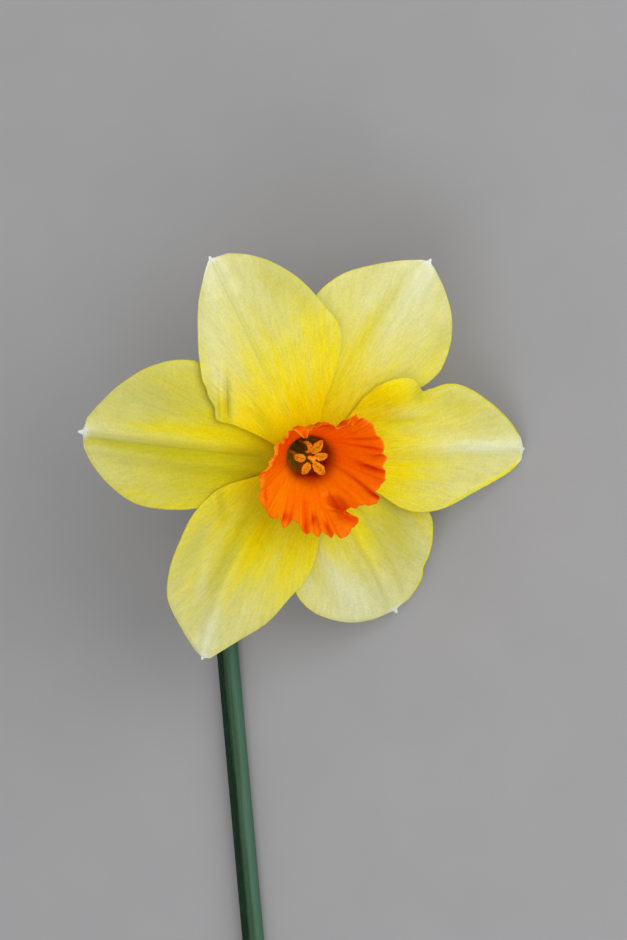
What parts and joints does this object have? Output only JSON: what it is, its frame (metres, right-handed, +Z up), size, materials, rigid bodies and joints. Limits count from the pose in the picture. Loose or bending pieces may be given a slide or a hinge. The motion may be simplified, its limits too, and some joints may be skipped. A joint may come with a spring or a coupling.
{
  "type": "daffodil flower",
  "caption": "Picked daffodil lying on a surface: a green stem with a bent neck carries a bloom of yellow tepals round a ruffled orange corona.",
  "frame": {"origin": "centre of the bounding box, on the surface that the flower lies on", "axes": "+Y along the stem from its cut end towards the bloom, +Z up from the surface, +X towards the side the bloom leans to"},
  "size_m": [0.0838, 0.2248, 0.0624],
  "materials": {
    "tepal_inner": "matte",
    "tepal_outer": "matte",
    "corona": "satin",
    "flower_tube": "matte",
    "filament": "matte",
    "anther": "matte",
    "pistil": "satin",
    "stem": "satin",
    "spathe": "matte"
  },
  "bodies": {
    "root": {"tepal_inner_1": "tepal_inner", "tepal_outer_1": "tepal_outer", "tepal_inner_2": "tepal_inner", "tepal_outer_2": "tepal_outer", "tepal_inner_3": "tepal_inner", "tepal_outer_3": "tepal_outer", "corona": "corona", "flower_tube": "flower_tube", "filament_1": "filament", "filament_2": "filament", "filament_3": "filament", "filament_4": "filament", "filament_5": "filament", "filament_6": "filament", "anther_1": "anther", "anther_2": "anther", "anther_3": "anther", "anther_4": "anther", "anther_5": "anther", "anther_6": "anther", "pistil": "pistil", "stem": "stem", "spathe": "spathe"}
  },
  "joints": []
}
